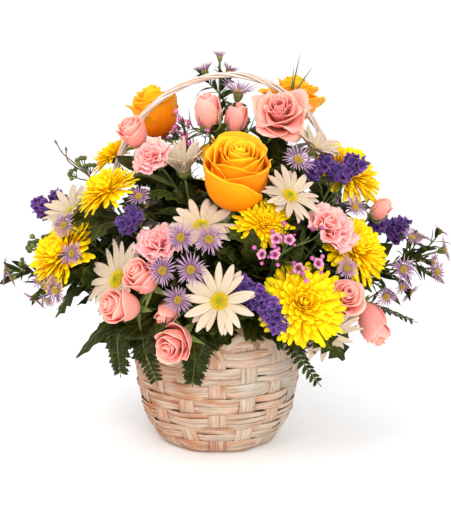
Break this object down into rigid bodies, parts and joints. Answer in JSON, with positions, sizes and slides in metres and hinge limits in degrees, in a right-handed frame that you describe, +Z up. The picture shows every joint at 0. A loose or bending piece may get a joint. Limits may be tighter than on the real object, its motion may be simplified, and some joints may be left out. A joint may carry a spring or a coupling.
{
  "type": "flower basket arrangement",
  "caption": "Round woven splint basket with a twisted cane overhead handle, filled with a dome of cut roses, daisies, chrysanthemums, asters and greens standing in floral foam.",
  "frame": {"origin": "middle of the basket's flat underside", "axes": "+Z up from the surface the basket stands on; the arrangement's front faces -Y and the handle spans X"},
  "size_m": [0.3902, 0.2701, 0.3522],
  "materials": {
    "splint": "flat splints, whitewashed and brushed thin",
    "cane": "whitewashed round cane",
    "liner": "thin dark green moulded liner",
    "foam": "wet green floral foam",
    "yellow": "soft deep yellow rose petals",
    "pink": "soft coral pink rose petals",
    "rose": "frilled pink carnation petals",
    "white": "matt white ray petals round a yellow disc",
    "lemon": "matt bright yellow strap petals",
    "violet": "dry papery violet florets",
    "lavender": "thin lavender rays round a yellow-green disc",
    "magenta": "waxy pink petals on fine green stems",
    "leaf": "dark green leaves with a low sheen",
    "bud": "round green buds on thin stems"
  },
  "bodies": {
    "root": {"asters_back": "lavender", "asters_centre": "lavender", "asters_left": "lavender", "asters_left_front": "lavender", "asters_right": "lavender", "asters_top": "lavender", "asters_upper_right": "lavender", "basket_wall": "splint", "bud_sprigs_left": "bud", "carnation_back": "rose", "carnation_left": "rose", "carnation_right": "rose", "carnation_upper_left": "rose", "daisies_back": "white", "daisy_centre": "white", "daisy_far_left": "white", "daisy_front": "white", "daisy_left": "white", "daisy_low_right": "white", "daisy_right": "white", "daisy_upper_left": "white", "daisy_upper_right": "white", "fern_back": "leaf", "fern_front": "leaf", "fern_left": "leaf", "fern_right": "leaf", "foam": "foam", "grass_and_twigs": "leaf", "handle": "cane", "leaves_right": "leaf", "liner": "liner", "mum_back": "lemon", "mum_back_left": "lemon", "mum_centre": "lemon", "mum_left": "lemon", "mum_right": "lemon", "mum_right_front": "lemon", "mum_upper_right": "lemon", "mums_upper_left": "lemon", "rim_hoop": "splint", "rose_pink_bud_left": "pink", "rose_pink_bud_right": "pink", "rose_pink_buds_top": "pink", "rose_pink_low": "pink", "rose_pink_open": "pink", "rose_pink_pair_back": "pink", "rose_pink_pair_left": "pink", "rose_pink_pair_right": "pink", "rose_yellow_back": "yellow", "rose_yellow_front": "yellow", "rose_yellow_left": "yellow", "rose_yellow_right": "yellow", "statice_back": "violet", "statice_far_left": "violet", "statice_far_right": "violet", "statice_front": "violet", "statice_left": "violet", "statice_right": "violet", "waxflower_front": "magenta", "waxflower_top": "magenta"}
  },
  "joints": []
}
